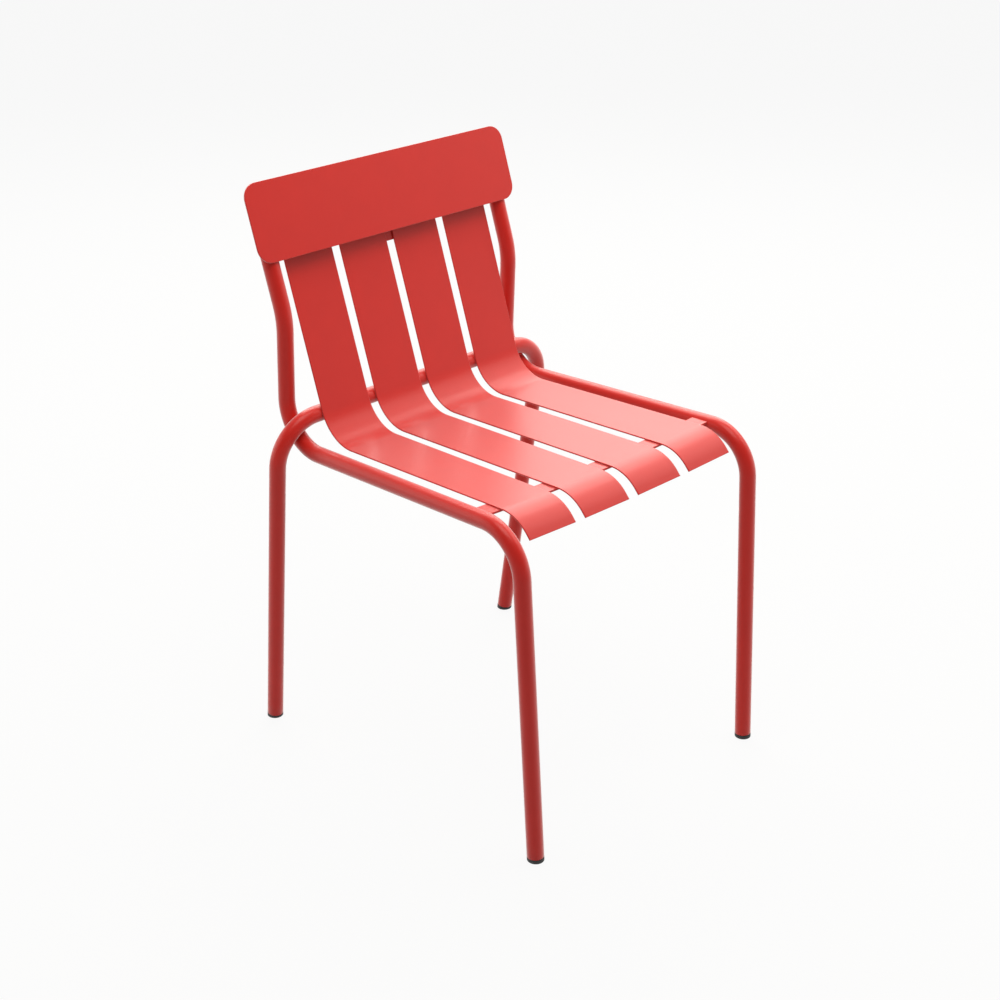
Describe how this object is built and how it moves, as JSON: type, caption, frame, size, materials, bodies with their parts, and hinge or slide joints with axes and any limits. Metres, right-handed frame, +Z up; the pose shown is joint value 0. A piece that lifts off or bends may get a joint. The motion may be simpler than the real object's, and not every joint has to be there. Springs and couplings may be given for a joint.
{
  "type": "chair",
  "caption": "Armless bistro chair of bent round tube: flat slats curve from back to seat and end in rolled lips, under a wide rounded head plate.",
  "frame": {"origin": "on the floor, under the middle of the whole chair's box", "axes": "+Z up, the chair faces -Y, +X to the right for somebody who looks at its front from -Y along +Y"},
  "size_m": [0.4978, 0.5328, 0.7618],
  "materials": {
    "red_powder_coat": "satin powder coat",
    "black_glide_plastic": "moulded matte"
  },
  "bodies": {
    "root": {"main_tube": "red_powder_coat", "rear_leg_hoop": "red_powder_coat", "outer_left_slat": "red_powder_coat", "inner_left_slat": "red_powder_coat", "inner_right_slat": "red_powder_coat", "outer_right_slat": "red_powder_coat", "head_plate": "red_powder_coat", "tie_plate": "red_powder_coat", "front_crossbar": "red_powder_coat", "hoop_welds": "red_powder_coat", "slat_hoop_welds": "red_powder_coat", "slat_top_welds": "red_powder_coat", "crossbar_slat_welds": "red_powder_coat", "crossbar_rail_welds": "red_powder_coat", "head_plate_welds": "red_powder_coat", "tie_plate_welds": "red_powder_coat", "front_left_glide": "black_glide_plastic", "front_right_glide": "black_glide_plastic", "rear_left_glide": "black_glide_plastic", "rear_right_glide": "black_glide_plastic"}
  },
  "joints": []
}
